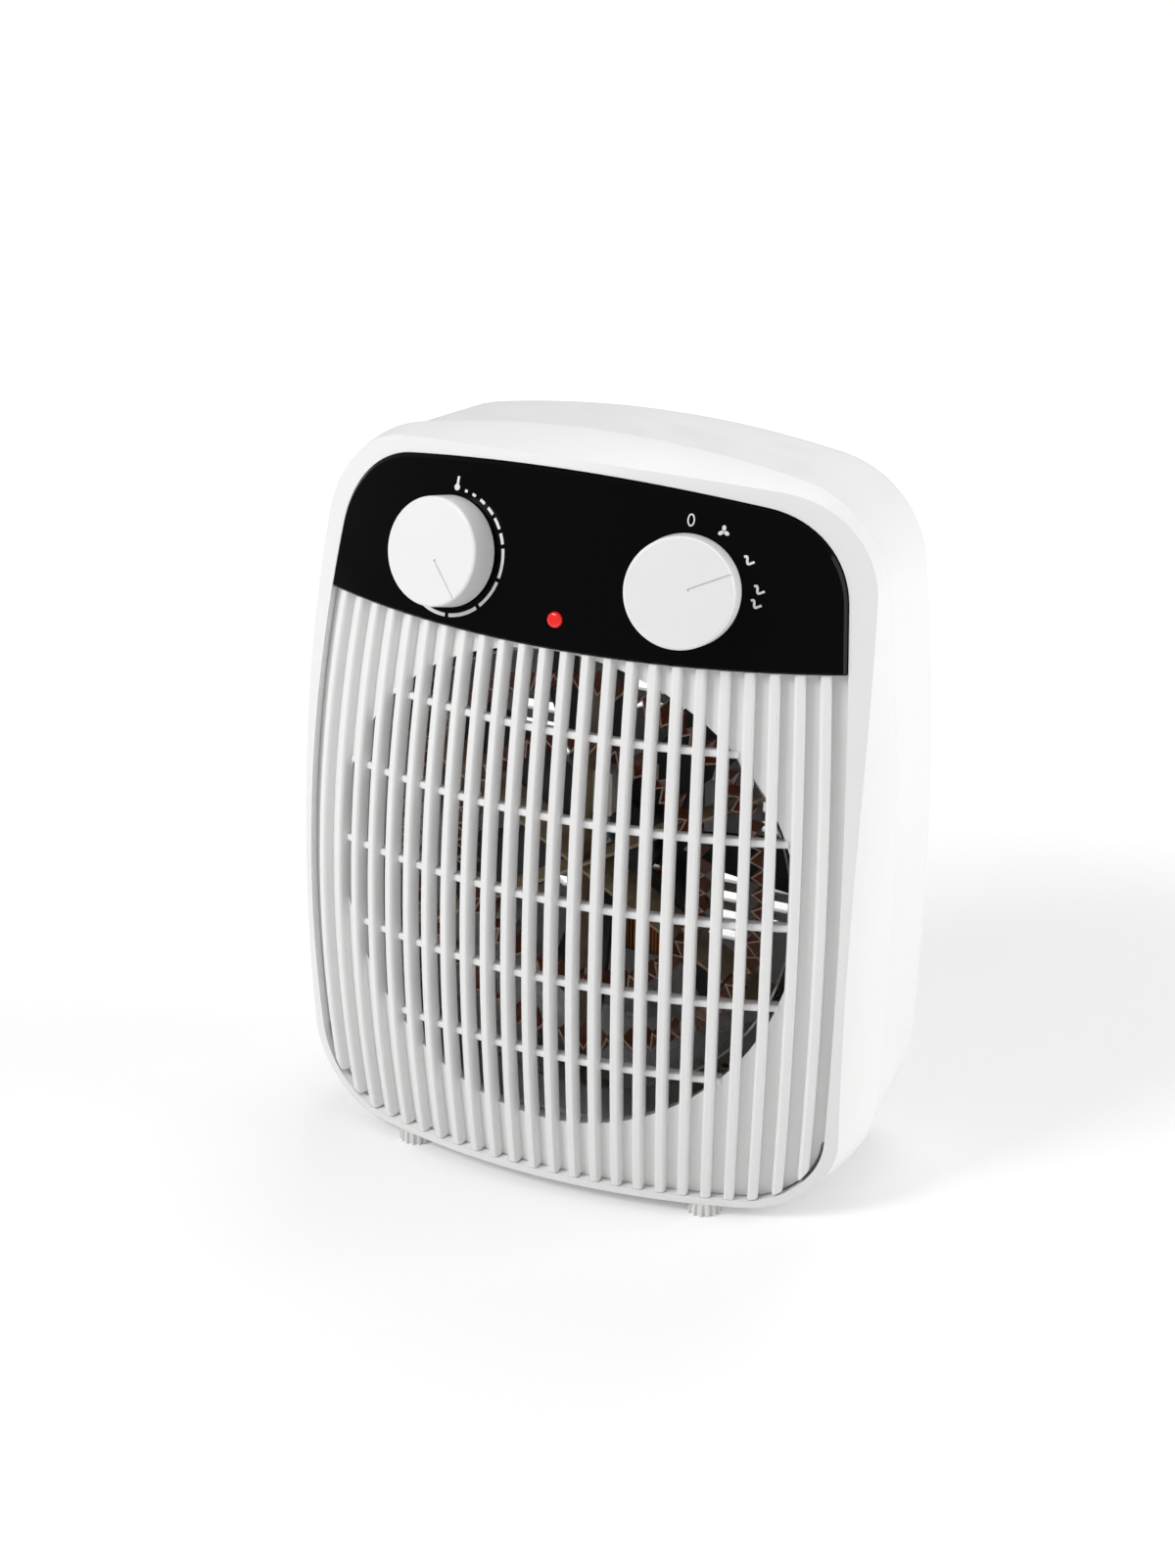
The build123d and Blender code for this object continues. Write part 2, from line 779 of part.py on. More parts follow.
# Mica frame: crossed boards with open notches, and the two ribbons that stand in them.
with BuildPart() as mica_frame:
    with BuildSketch(on_axis(mica_back)):
        for index in range(mica_count):
            Rectangle(
                2 * (duct_radius - fit_gap),
                mica_thickness,
                rotation=90 + index * 180 / mica_count,
            )
    extrude(amount=mica_back - mica_front)
    notch = ribbon_wave / 2 + ribbon_thickness + mica_notch
    for radius in (outer_ribbon_radius, inner_ribbon_radius):
        add(
            rods(
                mica_front,
                mica_front + ribbon_width + fit_gap,
                radius + notch,
                bore=radius - notch,
            ),
            mode=Mode.SUBTRACT,
        )
save(mica_frame.part, "mica_frame")
save(ribbon(outer_ribbon_radius, outer_ribbon_waves), "outer_ribbon")
save(ribbon(inner_ribbon_radius, inner_ribbon_waves), "inner_ribbon")

# Thermal cut-out and fuse, one on each face of the upright board.
cutout_x = mica_thickness / 2 + fit_gap
cutout_z = (cutout_low, cutout_low + cutout_height)
with BuildPart() as thermal_cutout:
    add(block(mica_back - 8, mica_back, (cutout_x, cutout_x + cutout_width), cutout_z))
    fillet(thermal_cutout.edges().filter_by(Axis.Y), 1)
    with BuildSketch(on_axis(mica_back - 4)):
        for z in (cutout_z[0] - 3, cutout_z[1] + 3):
            with Locations((cutout_x + cutout_width / 2, z)):
                Rectangle(tab_thickness, tab_length)
    extrude(amount=2, both=True)
save(thermal_cutout.part, "thermal_cutout")
with BuildPart() as thermal_fuse:
    fuse_x = -cutout_x - fuse_radius
    with BuildSketch(Plane.XY.offset(outlet_z + cutout_z[0])):
        with Locations((fuse_x, front_y + mica_back - 4)):
            Circle(fuse_radius)
    extrude(amount=cutout_height)
    fillet(thermal_fuse.edges().filter_by(GeomType.CIRCLE), fuse_radius / 2)
    with BuildSketch(Plane.XY.offset(outlet_z + cutout_z[0] - 4)):
        with Locations((fuse_x, front_y + mica_back - 4)):
            Circle(fuse_radius / 3)
    extrude(amount=cutout_height + 8)
save(thermal_fuse.part, "thermal_fuse")

# Fan: twisted blades on a hollow hub, its clip, shaft and rotor.
with BuildPart() as fan:
    fan_middle = fan_front + blade_depth / 2
    for index in range(blade_count):
        turn = radians(index * 360 / blade_count)
        sections = []
        for radius, chord, pitch in blade_sections:
            plane = Plane(
                origin=(radius * cos(turn), front_y + fan_middle, outlet_z + radius * sin(turn)),
                x_dir=(-sin(turn), 0, cos(turn)),
                z_dir=(cos(turn), 0, sin(turn)),
            )
            with BuildSketch(plane) as section:
                Rectangle(chord, blade_thickness, rotation=pitch)
            sections.append(section.sketch)
        loft(sections)
    add(rods(fan_front - 10, fan_front + 30, fan_radius), mode=Mode.INTERSECT)
    add(rods(fan_front, fan_front + fan_hub_depth, fan_hub_radius))
    add(
        rods(fan_front + hub_wall, fan_front + 30, fan_hub_radius - hub_wall),
        mode=Mode.SUBTRACT,
    )
    add(rods(fan_front, fan_front + fan_hub_depth - 1, hub_boss))
    add(
        rods(fan_front - 1, fan_front + 30, shaft_radius + shaft_gap),
        mode=Mode.SUBTRACT,
    )
save(fan.part, "fan")
clip_front = fan_front - clip_thickness
save(
    rods(clip_front, fan_front, clip_radius, bore=shaft_radius + shaft_gap),
    "fan_clip",
)
with BuildPart() as motor_shaft:
    add(rods(clip_front - 2, motor_seat + bearing_depth + 1, shaft_radius))
    chamfer(motor_shaft.edges().filter_by(GeomType.CIRCLE), shaft_radius / 4)
save(motor_shaft.part, "motor_shaft")
rotor_front = stator_front + rotor_gap
rotor_back = stator_front + stator_depth - rotor_gap
save(
    rods(rotor_front, rotor_back, rotor_radius, bore=shaft_radius + shaft_gap),
    "rotor",
)

# Motor: laminated stator, its winding and the two bearing brackets.
with BuildPart() as stator:
    z = (stator_bottom, stator_top)
    add(block(stator_front, stator_front + stator_depth, (-stator_half, stator_half), z))
    fillet(stator.edges().filter_by(Axis.Y), 2)
    inner_half = stator_half - stator_leg
    z = (stator_bottom + stator_bar, stator_window_top)
    add(
        block(stator_front, stator_front + stator_depth, (-inner_half, inner_half), z),
        mode=Mode.SUBTRACT,
    )
    stator_end = stator_front + stator_depth
    add(rods(stator_front, stator_end, rotor_radius + rotor_gap), mode=Mode.SUBTRACT)
    add(rods(stator_front, stator_end, hole, motor_spots), mode=Mode.SUBTRACT)
save(stator.part, "stator")
with BuildPart() as winding:
    x = (coil_gap - inner_half, inner_half - coil_gap)
    z = (stator_bottom - coil_wall, stator_bottom + stator_bar + coil_wall)
    add(block(stator_front - coil_wall, stator_end + coil_wall, x, z))
    fillet(winding.edges().filter_by(Axis.X), 2.5)
    z = (stator_bottom - coil_gap, stator_bottom + stator_bar + coil_gap)
    add(block(stator_front - coil_gap, stator_end + coil_gap, x, z), mode=Mode.SUBTRACT)
save(winding.part, "winding")


def bracket(near, boss_near):
    """Bearing bracket between the motor's screws with a boss round the shaft."""
    z = (-bracket_height / 2, bracket_height / 2)
    with BuildPart() as body:
        add(block(near, near + bracket_depth, (-bracket_half, bracket_half), z))
        fillet(body.edges().filter_by(Axis.Y), bracket_height / 2 - 1)
        add(rods(boss_near, boss_near + bearing_depth, bearing_radius))
        add(rods(near - 10, near + 20, shaft_radius + shaft_gap), mode=Mode.SUBTRACT)
        add(rods(near - 10, near + 20, hole, motor_spots), mode=Mode.SUBTRACT)
    return body.part


save(bracket(motor_start, motor_start - bearing_depth), "front_bearing_bracket")
save(bracket(stator_end, motor_seat), "rear_bearing_bracket")

# Terminal block on the floor of the rear shell and the gland for the cord.
with BuildPart() as terminal_block:
    x = (block_x - block_width / 2, block_x + block_width / 2)
    low = foot_drop + seam_step / 2 + wall + fit_gap - outlet_z
    add(block(block_near, block_near + block_depth, x, (low, low + block_height)))
    fillet(terminal_block.edges().filter_by(Axis.Z), 1)
    with BuildSketch(Plane.XY.offset(outlet_z + low + block_height)):
        with Locations((block_x, front_y + block_near + block_depth / 2)):
            with GridLocations(block_width / block_holes, block_depth / 2, block_holes, 2):
                Circle(screw_radius)
    extrude(amount=-block_height / 2, mode=Mode.SUBTRACT)
save(terminal_block.part, "terminal_block")
flange_back = depth - wall - fit_gap
with BuildPart() as cord_gland:
    add(rods(flange_back - 2, flange_back, gland_flange, gland_spot))
    add(rods(flange_back - 2, depth, gland_radius, gland_spot))
    add(rods(flange_back - 2, depth, gland_bore, gland_spot), mode=Mode.SUBTRACT)
save(cord_gland.part, "cord_gland")
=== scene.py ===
import json
import math

import bmesh
import bpy
from mathutils import Matrix, Vector


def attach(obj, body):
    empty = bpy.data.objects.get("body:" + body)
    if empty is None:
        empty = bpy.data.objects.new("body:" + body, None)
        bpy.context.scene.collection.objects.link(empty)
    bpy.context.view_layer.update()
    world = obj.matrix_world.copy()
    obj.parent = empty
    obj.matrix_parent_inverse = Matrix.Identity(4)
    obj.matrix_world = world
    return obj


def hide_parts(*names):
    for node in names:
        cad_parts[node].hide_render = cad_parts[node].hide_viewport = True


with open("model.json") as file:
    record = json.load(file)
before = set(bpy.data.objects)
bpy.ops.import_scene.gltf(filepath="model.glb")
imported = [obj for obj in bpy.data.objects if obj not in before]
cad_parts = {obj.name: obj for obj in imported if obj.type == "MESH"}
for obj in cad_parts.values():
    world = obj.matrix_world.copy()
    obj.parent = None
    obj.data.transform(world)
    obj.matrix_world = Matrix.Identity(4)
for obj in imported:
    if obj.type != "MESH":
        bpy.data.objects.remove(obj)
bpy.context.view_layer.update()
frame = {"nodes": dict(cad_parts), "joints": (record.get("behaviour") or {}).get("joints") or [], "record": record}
nodes = frame["nodes"]
record = frame["record"]
joints = {joint["name"]: joint for joint in frame["joints"]}
MM = 0.001

# The front is a barrel, as in the CAD, in metres.
FRONT_RADIUS = 0.221
SWEEP_RADIUS = 0.526
MIDDLE_Z = 0.0915
AXIS_Y = 0.166
PANEL_PROUD = 0.0012

# The camera stands where the photograph was taken from.
CAMERA_PLACE = (0.39964, -0.89568, 0.55482)
CAMERA_YAW = 24.431
CAMERA_PITCH = -23.262
CAMERA_ROLL = 0.988
FOCAL_PIXELS = 3205.97
IMAGE_HEIGHT = 1602
SENSOR = 36.0


def front_y(x, z, proud=0.0):
    """Y of the front's curve at x and z, raised by proud."""
    radius = SWEEP_RADIUS + proud
    reach = FRONT_RADIUS - SWEEP_RADIUS + math.sqrt(radius**2 - (z - MIDDLE_Z) ** 2)
    return AXIS_Y - math.sqrt(reach**2 - x**2)


def node_tree(name):
    """A new material with its node tree and its Principled shader."""
    material = bpy.data.materials.new(name)
    material.use_nodes = True
    tree = material.node_tree
    return material, tree, tree.nodes["Principled BSDF"]


def add_node(tree, kind, **inputs):
    """A shader node with the named input values."""
    made = tree.nodes.new(kind)
    for name, value in inputs.items():
        made.inputs[name.replace("_", " ")].default_value = value
    return made


def object_noise(tree, scale, detail=3.0, stretch=(1, 1, 1)):
    """Noise in the object's own space, stretched along its axes."""
    place = tree.nodes.new("ShaderNodeTexCoord")
    mapping = tree.nodes.new("ShaderNodeMapping")
    mapping.inputs["Scale"].default_value = stretch
    noise = add_node(tree, "ShaderNodeTexNoise", Scale=scale, Detail=detail)
    tree.links.new(place.outputs["Object"], mapping.inputs["Vector"])
    tree.links.new(mapping.outputs["Vector"], noise.inputs["Vector"])
    return noise


def spread(tree, source, low, high, target):
    """Links a 0 to 1 value to an input, spread between low and high."""
    ramp = tree.nodes.new("ShaderNodeMapRange")
    ramp.inputs["From Min"].default_value = 0.3
    ramp.inputs["From Max"].default_value = 0.7
    ramp.inputs["To Min"].default_value = low
    ramp.inputs["To Max"].default_value = high
    tree.links.new(source, ramp.inputs["Value"])
    tree.links.new(ramp.outputs["Result"], target)


def tint(tree, shader, source, first, second):
    """Links a mix of two colours to the shader's base colour."""
    mix = tree.nodes.new("ShaderNodeMix")
    mix.data_type = "RGBA"
    mix.inputs["A"].default_value = (*first, 1)
    mix.inputs["B"].default_value = (*second, 1)
    tree.links.new(source, mix.inputs["Factor"])
    tree.links.new(mix.outputs["Result"], shader.inputs["Base Color"])


def bump(tree, shader, height, strength, distance, rounding=0.0):
    """Bump from a height, on edges rounded by a small radius."""
    made = add_node(tree, "ShaderNodeBump", Strength=strength, Distance=distance)
    tree.links.new(height, made.inputs["Height"])
    if rounding:
        bevel = tree.nodes.new("ShaderNodeBevel")
        bevel.samples = 4
        bevel.inputs["Radius"].default_value = rounding
        tree.links.new(bevel.outputs["Normal"], made.inputs["Normal"])
    tree.links.new(made.outputs["Normal"], shader.inputs["Normal"])


def plastic(name, colour, roughness, grain=900.0, depth=0.00002, coat=0.0, rounding=0.0, gloss=0.5):
    """Moulded plastic: slight cloudiness, uneven gloss and a fine grain."""
    material, tree, shader = node_tree(name)
    cloud = object_noise(tree, 18.0)
    darker = tuple(channel * 0.965 for channel in colour)
    tint(tree, shader, cloud.outputs["Fac"], darker, colour)
    wear = object_noise(tree, 60.0, 5.0)
    low, high = roughness * 0.85, min(1.0, roughness * 1.2)
    spread(tree, wear.outputs["Fac"], low, high, shader.inputs["Roughness"])
    shader.inputs["Coat Weight"].default_value = coat
    shader.inputs["Coat Roughness"].default_value = 0.04
    shader.inputs["Specular IOR Level"].default_value = gloss
    fine = object_noise(tree, grain, 2.0)
    bump(tree, shader, fine.outputs["Fac"], 0.25, depth, rounding)
    return material


def metal(name, colour, roughness, stretch=(1, 1, 1), scale=300.0, glow=None):
    """Sheet or turned metal: fine streaks, stained patches, uneven gloss and, where given, a painted glow."""
    material, tree, shader = node_tree(name)
    shader.inputs["Metallic"].default_value = 1.0
    patches = object_noise(tree, 45.0, 4.0)
    stained = tuple(channel * 0.72 for channel in colour)
    tint(tree, shader, patches.outputs["Fac"], stained, colour)
    streaks = object_noise(tree, scale, 4.0, stretch)
    low, high = roughness * 0.7, min(1.0, roughness * 1.4)
    spread(tree, streaks.outputs["Fac"], low, high, shader.inputs["Roughness"])
    # Where given, a painted glow: the metal emits light though it is no lamp.
    if glow:
        shader.inputs["Emission Color"].default_value = (*glow[0], 1)
        shader.inputs["Emission Strength"].default_value = glow[1]
    bump(tree, shader, streaks.outputs["Fac"], 0.2, 0.00003)
    return material


def mica_board(name):
    """Layered mica board: golden flakes with dark specks."""
    material, tree, shader = node_tree(name)
    flakes = object_noise(tree, 420.0, 6.0, (1, 0.3, 1))
    tint(tree, shader, flakes.outputs["Fac"], (0.20, 0.14, 0.08), (0.52, 0.42, 0.28))
    spread(tree, flakes.outputs["Fac"], 0.35, 0.6, shader.inputs["Roughness"])
    bump(tree, shader, flakes.outputs["Fac"], 0.3, 0.00008)
    return material


def wound_wire(name):
    """Varnished copper wire laid in turns, with painted shade in the grooves between them."""
    material, tree, shader = node_tree(name)
    place = tree.nodes.new("ShaderNodeTexCoord")
    wave = add_node(tree, "ShaderNodeTexWave", Scale=260.0, Distortion=0.6)
    wave.bands_direction = "X"
    tree.links.new(place.outputs["Object"], wave.inputs["Vector"])
    shader.inputs["Metallic"].default_value = 0.9
    # Painted shade: each turn's colour darkens towards the grooves between turns, in step with the bump.
    tint(tree, shader, wave.outputs["Fac"], (0.22, 0.07, 0.02), (0.62, 0.26, 0.09))
    patches = object_noise(tree, 90.0)
    spread(tree, patches.outputs["Fac"], 0.25, 0.45, shader.inputs["Roughness"])
    bump(tree, shader, wave.outputs["Fac"], 0.6, 0.0002)
    return material


def stacked_sheets(name):
    """Pressed steel sheets stacked along Y."""
    material, tree, shader = node_tree(name)
    place = tree.nodes.new("ShaderNodeTexCoord")
    wave = add_node(tree, "ShaderNodeTexWave", Scale=620.0, Distortion=0.2)
    wave.bands_direction = "Y"
    tree.links.new(place.outputs["Object"], wave.inputs["Vector"])
    shader.inputs["Metallic"].default_value = 1.0
    tint(tree, shader, wave.outputs["Fac"], (0.12, 0.12, 0.13), (0.34, 0.34, 0.36))
    patches = object_noise(tree, 120.0)
    spread(tree, patches.outputs["Fac"], 0.35, 0.55, shader.inputs["Roughness"])
    bump(tree, shader, wave.outputs["Fac"], 0.4, 0.0001)
    return material


def lit_lens(name):
    """Clear red lens lit from behind."""
    material, tree, shader = node_tree(name)
    glow = object_noise(tree, 500.0)
    tint(tree, shader, glow.outputs["Fac"], (0.5, 0.003, 0.003), (0.65, 0.012, 0.008))
    shader.inputs["Emission Color"].default_value = (1.0, 0.01, 0.006, 1)
    shader.inputs["Emission Strength"].default_value = 0.3
    spread(tree, glow.outputs["Fac"], 0.1, 0.2, shader.inputs["Roughness"])
    shader.inputs["Coat Weight"].default_value = 0.6
    bump(tree, shader, glow.outputs["Fac"], 0.1, 0.00003)
    return material


def bare_lamp(name):
    """Small glass lamp with a warm glow inside."""
    material, tree, shader = node_tree(name)
    glow = object_noise(tree, 350.0)
    tint(tree, shader, glow.outputs["Fac"], (0.8, 0.35, 0.2), (0.95, 0.6, 0.45))
    shader.inputs["Transmission Weight"].default_value = 0.6
    shader.inputs["Emission Color"].default_value = (1.0, 0.35, 0.15, 1)
    shader.inputs["Emission Strength"].default_value = 0.5
    spread(tree, glow.outputs["Fac"], 0.05, 0.15, shader.inputs["Roughness"])
    bump(tree, shader, glow.outputs["Fac"], 0.1, 0.00002)
    return material


WHITE = (0.83, 0.83, 0.825)
MATERIALS = {
    "shell_white": plastic("shell_white", WHITE, 0.38, rounding=0.0004),
    "grille_white": plastic("grille_white", WHITE, 0.4, rounding=0.0005),
    "knob_white": plastic("knob_white", WHITE, 0.34, 1400.0, rounding=0.0003),
    "panel_black": plastic("panel_black", (0.002, 0.002, 0.0024), 0.08, 200.0, 0.000004, gloss=0.07),
    "switch_dark": plastic("switch_dark", (0.03, 0.03, 0.035), 0.5),
    "nylon_natural": plastic("nylon_natural", (0.62, 0.58, 0.48), 0.5),
    "foot_rubber": plastic("foot_rubber", (0.72, 0.72, 0.71), 0.75, 700.0, 0.00005),
    "ceramic": plastic("ceramic", (0.7, 0.67, 0.6), 0.3, 500.0, 0.00003),
    "fan_grey": plastic("fan_grey", (0.045, 0.047, 0.05), 0.45),
    "gland_black": plastic("gland_black", (0.015, 0.015, 0.015), 0.6, 700.0, 0.00004),
    "zinc_steel": metal("zinc_steel", (0.55, 0.55, 0.53), 0.35),
    "screw_steel": metal("screw_steel", (0.5, 0.5, 0.5), 0.3),
    "nickel_brass": metal("nickel_brass", (0.62, 0.54, 0.36), 0.25),
    "galvanised": metal("galvanised", (0.5, 0.5, 0.5), 0.3, scale=120.0),
    "spring_steel": metal("spring_steel", (0.16, 0.17, 0.2), 0.3),
    # The heating alloy carries a faint painted orange glow, a warm tint inside the heater.
    "heating_alloy": metal(
        "heating_alloy", (0.42, 0.36, 0.3), 0.35, glow=((1.0, 0.16, 0.03), 0.015)
    ),
    "laminations": stacked_sheets("laminations"),
    "copper_wire": wound_wire("copper_wire"),
    "mica": mica_board("mica"),
    "lens_red": lit_lens("lens_red"),
    "lamp_glass": bare_lamp("lamp_glass"),
}


def paint(piece, material):
    """Gives a piece one material in place of any it has."""
    piece.data.materials.clear()
    piece.data.materials.append(material)


for subpart in record["subparts"]:
    paint(nodes[subpart["node"]], MATERIALS[subpart["material_slot"]])


# The ribbed insert, in millimetres.
# Its ribs stand at the photograph's pitch, which the CAD's grooves fall short of.
INSERT_HALF = 97.35
INSERT_MIDDLE = 99.5
INSERT_BOW = 980.0
INSERT_BOTTOM = 7.65
INSERT_TOP = 252.8
BOTTOM_CORNER = 25.0
TOP_CORNER = 33.0
PANEL_BOTTOM = 197.2
PLATE_FRONT = 3.6
PLATE_BACK = 7.5
PANEL_SEAT = 1.6
SHOULDER_HEIGHT = 4.0
OUTLET_RADIUS = 83.8
OUTLET_Z = 111.7
RIB_PITCH = 8.0
RIB_COUNT = 24
RIB_BOW = 900.0
RIB_MIDDLE = 95.0
RIB_FOOT_HEIGHT = 12.0
# Profiles run round one rib or bar, as (across, inset) pairs.
RIB_PROFILE = (
    (-1.95, 4.8), (-1.8, 1.2), (-1.5, 0.42), (-1.0, 0.0),
    (1.0, 0.0), (1.5, 0.42), (1.8, 1.2), (1.95, 4.8),
)
BAR_PITCH = 29.1
BAR_COUNT = 5
BAR_PROFILE = ((-1.2, 6.6), (-1.2, 3.4), (-0.8, 3.0), (0.8, 3.0), (1.2, 3.4), (1.2, 6.6))
BAR_OVERRUN = 2.0

# How finely the insert's parts are divided.
RIB_STEPS = 56
BAR_STEPS = 40
SHOULDER_STEPS = 40
PLATE_RINGS = 10
UPPER_STEPS = 4
SIDE_STEPS = 40
SIDE_FOOT_Z = 36
CORNER_DEGREES = 5
BOTTOM_STEPS = 30
TOP_STEPS = 24


def bowed_side(z):
    """Half width in mm of the insert's bowed sides at z."""
    return INSERT_HALF - (z - INSERT_MIDDLE) ** 2 / (2 * INSERT_BOW)


def half_width(z):
    """Half width in mm of the insert's outline at z, its round bottom corners included."""
    drop = INSERT_BOTTOM + BOTTOM_CORNER - z
    if drop <= 0:
        return bowed_side(z)
    inner = bowed_side(INSERT_BOTTOM) - BOTTOM_CORNER
    return min(bowed_side(z), inner + math.sqrt(max(0.0, BOTTOM_CORNER**2 - drop**2)))


def lowest(x):
    """Lowest z in mm of the insert's outline at x."""
    out = abs(x) - (bowed_side(INSERT_BOTTOM) - BOTTOM_CORNER)
    if out <= 0:
        return INSERT_BOTTOM
    return INSERT_BOTTOM + BOTTOM_CORNER - math.sqrt(max(0.0, BOTTOM_CORNER**2 - out**2))


def on_front(x, z, inset=0.0, across=0.0, rise=0.0):
    """Point in metres at x and z on the front, moved along it and set back, all in mm."""
    y = front_y(x * MM, z * MM)
    reach = AXIS_Y - y
    turn = math.atan2(x * MM, reach)
    lean = math.asin((z * MM - MIDDLE_Z) / SWEEP_RADIUS)
    normal = Vector((
        math.sin(turn) * math.cos(lean),
        -math.cos(turn) * math.cos(lean),
        math.sin(lean),
    ))
    side = Vector((math.cos(turn), math.sin(turn), 0))
    place = Vector((x * MM, y, z * MM))
    return place - normal * inset * MM + side * across * MM + normal.cross(side) * rise * MM


def in_front(x, z, inset):
    """Point in metres at x and z on the front's curve set back by inset, all in mm."""
    return Vector((x * MM, front_y(x * MM, z * MM, -inset * MM), z * MM))


def sweep(points, faces, rows):
    """Closed bar through rows of profile points, added to points and faces."""
    first = len(points)
    size = len(rows[0])
    for row in rows:
        points.extend(row)
    for index in range(len(rows) - 1):
        a = first + index * size
        for step in range(size):
            after = (step + 1) % size
            faces.append((a + step, a + after, a + size + after, a + size + step))
    faces.append(tuple(range(first + size - 1, first - 1, -1)))
    last = first + (len(rows) - 1) * size
    faces.append(tuple(range(last, last + size)))


def housing_piece(name, points, faces, material):
    """Mesh object from points and faces, fixed to the housing."""
    mesh = bpy.data.meshes.new(name)
    mesh.from_pydata(points, [], faces)
    mesh.validate()
    mesh.materials.append(material)
    piece = bpy.data.objects.new(name, mesh)
    bpy.context.scene.collection.objects.link(piece)
    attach(piece, "housing")
    return piece


def smooth_outwards(mesh, sharp_angle=35):
    """Turns the faces outwards and shades them smooth up to an angle."""
    work = bmesh.new()
    work.from_mesh(mesh)
    bmesh.ops.recalc_face_normals(work, faces=work.faces)
    work.to_mesh(mesh)
    work.free()
    mesh.shade_smooth()
    mesh.set_sharp_from_angle(angle=math.radians(sharp_angle))


def rib_x(start, z):
    """X in mm of a rib's middle line at z: the ribs lean in above and below."""
    bow = RIB_BOW * RIB_COUNT / 2 * RIB_PITCH
    return start * (1 - (z - RIB_MIDDLE) ** 2 / (2 * bow))


def add_ribs(points, faces):
    """Drafted ribs with rounded fronts from the insert's lower edge to the panel."""
    for index in range(RIB_COUNT):
        start = (index - (RIB_COUNT - 1) / 2) * RIB_PITCH
        foot_x = rib_x(start, INSERT_BOTTOM + RIB_FOOT_HEIGHT)
        rows = []
        for step in range(RIB_STEPS + 1):
            row = []
            for across, inset in RIB_PROFILE:
                low = lowest(foot_x + across)
                z = low + (PANEL_BOTTOM - low) * step / RIB_STEPS
                row.append(on_front(rib_x(start, z), z, inset, across))
            rows.append(row)
        sweep(points, faces, rows)


def add_bars(points, faces):
    """Cross bars behind the ribs' faces, between the sides of the outlet."""
    for index in range(BAR_COUNT):
        z = OUTLET_Z + (index - (BAR_COUNT - 1) / 2) * BAR_PITCH
        reach = math.sqrt((OUTLET_RADIUS + BAR_OVERRUN) ** 2 - (z - OUTLET_Z) ** 2)
        rows = []
        for step in range(BAR_STEPS + 1):
            x = -reach + 2 * reach * step / BAR_STEPS
            rows.append([on_front(x, z, inset, 0, rise) for rise, inset in BAR_PROFILE])
        sweep(points, faces, rows)


def outline_points():
    """Points in mm round the insert from its top, as seen from the front, clockwise."""
    top_z = INSERT_TOP - TOP_CORNER
    panel_height = top_z - PANEL_BOTTOM
    side_height = PANEL_BOTTOM - SIDE_FOOT_Z
    rows = [PANEL_BOTTOM + panel_height * step / UPPER_STEPS for step in range(UPPER_STEPS, 0, -1)]
    rows += [PANEL_BOTTOM - side_height * step / SIDE_STEPS for step in range(SIDE_STEPS + 1)]
    corner = [
        INSERT_BOTTOM + BOTTOM_CORNER * (1 - math.sin(math.radians(turn)))
        for turn in range(0, 91, CORNER_DEGREES)
    ]
    rows += [z for z in corner if z < SIDE_FOOT_Z]
    right = [(half_width(z), z) for z in rows]
    flat = right[-1][0]
    bottom = [
        (flat - 2 * flat * step / BOTTOM_STEPS, INSERT_BOTTOM) for step in range(1, BOTTOM_STEPS)
    ]
    left = [(-x, z) for x, z in reversed(right)]
    shoulder = half_width(top_z)
    top = [(-shoulder + 2 * shoulder * step / TOP_STEPS, top_z) for step in range(1, TOP_STEPS)]
    return right + bottom + left + top


def add_plate(points, faces):
    """Curved plate behind the grooves, round the outlet."""
    edge = outline_points()
    first = len(points)
    for inset in (PLATE_FRONT, PLATE_BACK):
        for ring in range(PLATE_RINGS + 1):
            share = ring / PLATE_RINGS
            for x, z in edge:
                away = math.hypot(x, z - OUTLET_Z)
                scale = (OUTLET_RADIUS + (away - OUTLET_RADIUS) * share) / away
                points.append(in_front(x * scale, OUTLET_Z + (z - OUTLET_Z) * scale, inset))
    count = len(edge)
    layer = count * (PLATE_RINGS + 1)
    for side in (0, layer):
        for ring in range(PLATE_RINGS):
            for step in range(count):
                a = first + side + ring * count + step
                b = first + side + ring * count + (step + 1) % count
                faces.append((a, b, b + count, a + count))
    for ring in (0, PLATE_RINGS):
        for step in range(count):
            a = first + ring * count + step
            b = first + ring * count + (step + 1) % count
            faces.append((a, b, b + layer, a + layer))


def add_shoulder(points, faces):
    """Strip of the insert under the panel's lower edge, where the grooves end."""
    high = PANEL_BOTTOM + SHOULDER_HEIGHT
    rows = []
    for step in range(SHOULDER_STEPS + 1):
        share = -1 + 2 * step / SHOULDER_STEPS
        low_x, high_x = half_width(PANEL_BOTTOM) * share, half_width(high) * share
        rows.append([
            in_front(low_x, PANEL_BOTTOM, PLATE_BACK),
            in_front(low_x, PANEL_BOTTOM, PANEL_SEAT),
            in_front(high_x, high, PANEL_SEAT),
            in_front(high_x, high, PLATE_BACK),
        ])
    sweep(points, faces, rows)


grille_points = []
grille_faces = []
add_plate(grille_points, grille_faces)
add_shoulder(grille_points, grille_faces)
add_ribs(grille_points, grille_faces)
add_bars(grille_points, grille_faces)
grille = housing_piece(
    "ribbed_grille", grille_points, grille_faces, MATERIALS["grille_white"]
)
smooth_outwards(grille.data)
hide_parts("front_grille")


